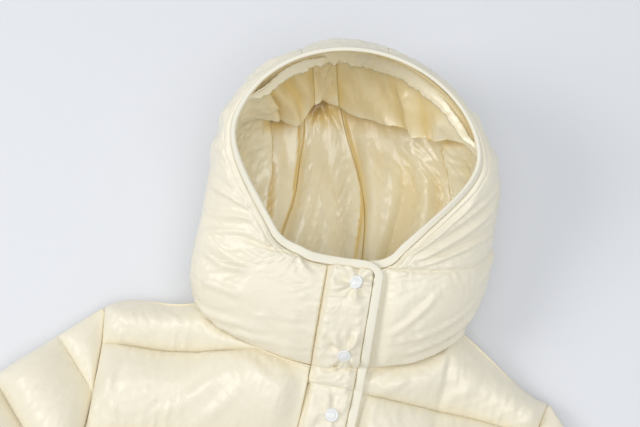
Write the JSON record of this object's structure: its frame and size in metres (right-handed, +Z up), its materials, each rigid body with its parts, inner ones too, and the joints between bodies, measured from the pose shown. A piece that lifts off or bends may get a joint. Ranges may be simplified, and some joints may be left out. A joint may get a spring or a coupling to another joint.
{
  "type": "hooded down jacket",
  "caption": "Cream hooded down jacket lying on its back, front snapped shut, with a quilted padded body, a tall snapped collar and a filled hood standing open.",
  "frame": {"origin": "on the surface the jacket lies on, under the middle of the front neck seam", "axes": "+X to the wearer's left, +Y from hem to hood, +Z up from the surface"},
  "size_m": [1.3164, 0.8977, 0.2101],
  "materials": {
    "shell": "thin glossy nylon, cream",
    "lining": "thin glossy nylon, warm cream",
    "binding": "matte ribbed tape, cream",
    "snap": "white plastic cap"
  },
  "bodies": {
    "root": {"back": "shell", "collar": "shell", "cuff_left": "shell", "cuff_right": "shell", "front_left": "shell", "front_right": "shell", "hem_tape": "shell", "hood_centre": "shell", "hood_side_left": "shell", "hood_side_right": "shell", "placket_body": "shell", "placket_collar": "shell", "sleeve_top_left": "shell", "sleeve_top_right": "shell", "sleeve_under_left": "shell", "sleeve_under_right": "shell", "hood_facing": "lining", "hood_lining_centre": "lining", "hood_lining_left": "lining", "hood_lining_right": "lining", "binding": "binding", "snap_collar_1": "snap", "snap_collar_2": "snap", "snap_body_1": "snap", "snap_body_2": "snap", "snap_body_3": "snap", "snap_body_4": "snap", "snap_body_5": "snap", "snap_body_6": "snap", "snap_body_7": "snap"}
  },
  "joints": []
}
